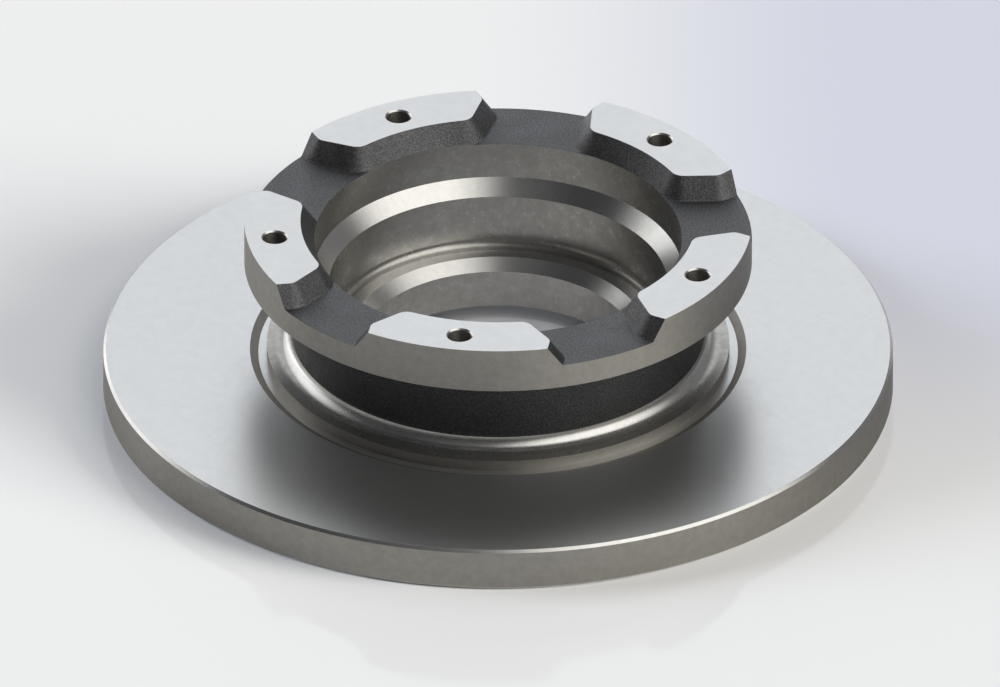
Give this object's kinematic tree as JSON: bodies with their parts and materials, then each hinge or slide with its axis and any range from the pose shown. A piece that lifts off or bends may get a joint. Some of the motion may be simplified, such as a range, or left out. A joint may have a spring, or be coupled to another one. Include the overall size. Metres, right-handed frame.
{
  "type": "brake disc",
  "caption": "Solid cast brake disc with a tall stepped hat, open in the middle, and a flange with raised bolting bosses.",
  "frame": {"origin": "On the axis of rotation, in the plane of the lower friction face that the disc rests on.", "axes": "+Z along the axis of rotation, from the lower friction face to the bolting bosses; -Y through the middle of the first boss."},
  "size_m": [0.28, 0.28, 0.0687],
  "materials": {
    "cast_iron": "Grey iron: friction faces, boss tops, rim and bore machined; neck, flange floor and boss sides rough as cast and darker."
  },
  "bodies": {
    "root": {"brake_disc": "cast_iron"}
  },
  "joints": []
}
